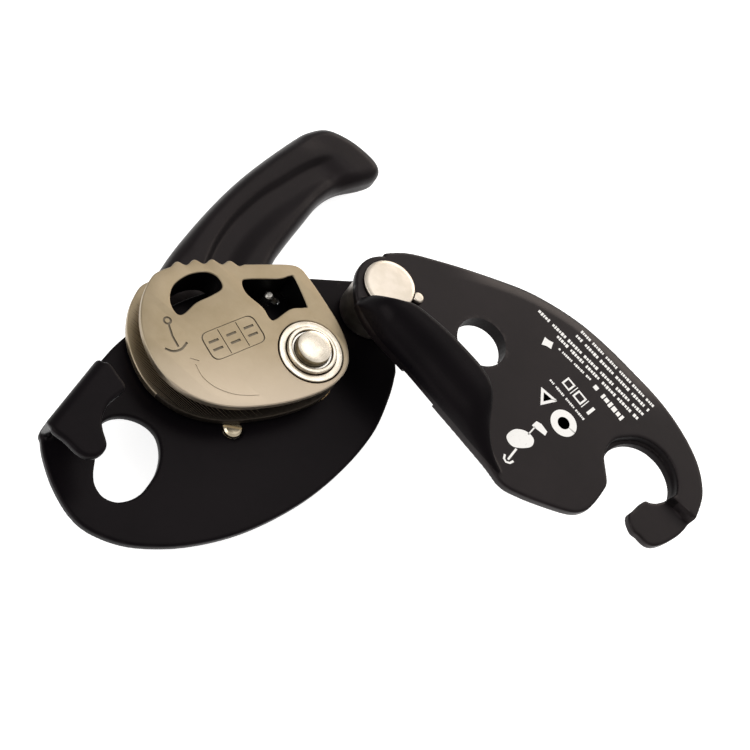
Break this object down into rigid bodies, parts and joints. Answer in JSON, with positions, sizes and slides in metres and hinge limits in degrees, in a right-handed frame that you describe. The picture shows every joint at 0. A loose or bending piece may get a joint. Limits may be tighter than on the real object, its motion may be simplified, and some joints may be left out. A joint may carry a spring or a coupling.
{
  "type": "self-braking rope descender",
  "caption": "Hand-held rope descender, lying open: a black plate with a karabiner eye carries a toothed steel cam, a release handle and a pivoted side plate with a hook slot",
  "frame": {"origin": "On the spindle's axis, in the plane of the rear cap's outer face, which the open device lies on", "axes": "+Z out of the rest plane, along every pivot; +Y from the spindle towards the handle's tip; +X towards the opened side plate"},
  "size_m": [0.2029, 0.1965, 0.0508],
  "materials": {
    "anodised_black": "satin black anodised",
    "handle_black": "black anodised over a cast skin",
    "cast_steel": "investment cast, tumbled satin",
    "bright_steel": "turned and polished",
    "bronze": "plain bearing bronze",
    "spring_wire": "drawn wire"
  },
  "bodies": {
    "chassis": {"back_plate": "anodised_black", "friction_post": "bright_steel", "pivot_rivet": "bright_steel", "plate_washer": "bright_steel", "spindle": "bright_steel", "button_circlip": "bright_steel", "button_spring": "spring_wire", "cam_washer": "bronze", "cam_stop_pin": "bright_steel", "handle_park_pin": "bright_steel", "handle_stop_post": "bright_steel", "stop_screw": "bright_steel", "handle_washer": "bronze", "handle_spring": "spring_wire", "rear_cap": "bright_steel", "cap_screw_1": "bright_steel", "cap_screw_2": "bright_steel", "cap_screw_3": "bright_steel"},
    "side_plate_body": {"side_plate": "anodised_black", "plate_bush": "bronze", "plate_stop_pin": "bright_steel"},
    "cam_body": {"cam": "cast_steel", "cam_bush": "bright_steel", "cam_spring": "spring_wire"},
    "button_body": {"latch_button": "bright_steel"},
    "handle_body": {"handle": "handle_black", "handle_bush": "bronze", "drive_pin": "bright_steel"}
  },
  "joints": [
    {"name": "side_plate_swing", "type": "hinge", "parent": "chassis", "child": "side_plate_body", "pos_m": [0.0042, 0.038, 0.0376], "axis": [0, 0, 1], "range_deg": [-108, 70]},
    {"name": "cam_pivot", "type": "hinge", "parent": "chassis", "child": "cam_body", "pos_m": [0, 0, 0.0267], "axis": [0, 0, 1], "range_deg": [-20, 12], "stiffness_Nm_per_rad": 0.05},
    {"name": "handle_pivot", "type": "hinge", "parent": "chassis", "child": "handle_body", "pos_m": [0, 0, 0.0085], "axis": [0, 0, 1], "range_deg": [0, 45], "stiffness_Nm_per_rad": 0.08},
    {"name": "latch_press", "type": "slide", "parent": "chassis", "child": "button_body", "axis": [0, 0, 1], "range_m": [-0.0035, 0], "stiffness_N_per_m": 500, "deforming": ["button_spring"]}
  ]
}
